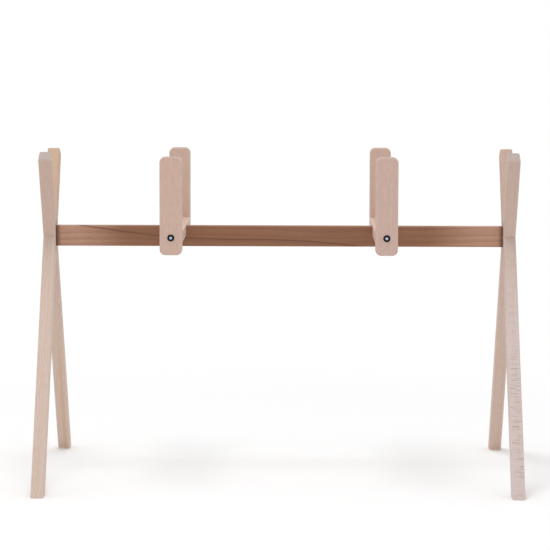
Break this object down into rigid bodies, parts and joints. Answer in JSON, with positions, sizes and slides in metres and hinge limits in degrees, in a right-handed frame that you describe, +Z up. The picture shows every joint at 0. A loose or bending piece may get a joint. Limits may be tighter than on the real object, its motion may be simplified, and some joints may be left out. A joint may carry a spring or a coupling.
{
  "type": "moses basket stand",
  "caption": "Free-standing beech stand for a moses basket: crossed leg frames joined by a centre rail, with cross bars and bolted side posts that cradle the basket.",
  "frame": {"origin": "on the floor, below the middle of the stand", "axes": "+Z up, +X along the length of the stand to the right, the front of the stand faces -Y"},
  "size_m": [0.872, 0.5408, 0.6],
  "materials": {
    "leg_beech": "pale beech, fine sanded, unlacquered",
    "rail_beech": "warm brown beech, fine sanded",
    "bar_beech": "pale beech, fine sanded",
    "post_beech": "pale pinkish beech, fine sanded",
    "dowel_beech": "turned and fluted beech",
    "bolt_steel": "blackened steel, semi-gloss",
    "nut_steel": "bright zinc"
  },
  "bodies": {
    "stand_frame": {"left_front_leg": "leg_beech", "left_rear_leg": "leg_beech", "right_front_leg": "leg_beech", "right_rear_leg": "leg_beech", "centre_rail": "rail_beech", "left_cross_bar": "bar_beech", "right_cross_bar": "bar_beech", "front_left_post_bolt": "bolt_steel", "front_right_post_bolt": "bolt_steel", "rear_left_post_bolt": "bolt_steel", "rear_right_post_bolt": "bolt_steel", "front_left_post_nut": "nut_steel", "front_right_post_nut": "nut_steel", "rear_left_post_nut": "nut_steel", "rear_right_post_nut": "nut_steel", "left_rail_bolt": "bolt_steel", "right_rail_bolt": "bolt_steel", "left_rail_nut": "nut_steel", "right_rail_nut": "nut_steel", "left_upper_dowel": "dowel_beech", "left_lower_dowel": "dowel_beech", "right_upper_dowel": "dowel_beech", "right_lower_dowel": "dowel_beech", "left_bar_bolt": "bolt_steel", "right_bar_bolt": "bolt_steel", "left_bar_insert": "nut_steel", "right_bar_insert": "nut_steel"},
    "post_front_left": {"front_left_post": "post_beech"},
    "post_front_right": {"front_right_post": "post_beech"},
    "post_rear_left": {"rear_left_post": "post_beech"},
    "post_rear_right": {"rear_right_post": "post_beech"}
  },
  "joints": [
    {"name": "front_left_post_swivel", "type": "hinge", "parent": "stand_frame", "child": "post_front_left", "pos_m": [-0.192, -0.17, 0.453], "axis": [0, -1, 0], "range_deg": [-90, 90]},
    {"name": "front_right_post_swivel", "type": "hinge", "parent": "stand_frame", "child": "post_front_right", "pos_m": [0.192, -0.17, 0.453], "axis": [0, 1, 0], "range_deg": [-90, 90]},
    {"name": "rear_left_post_swivel", "type": "hinge", "parent": "stand_frame", "child": "post_rear_left", "pos_m": [-0.192, 0.17, 0.453], "axis": [0, -1, 0], "range_deg": [-90, 90]},
    {"name": "rear_right_post_swivel", "type": "hinge", "parent": "stand_frame", "child": "post_rear_right", "pos_m": [0.192, 0.17, 0.453], "axis": [0, 1, 0], "range_deg": [-90, 90]}
  ]
}
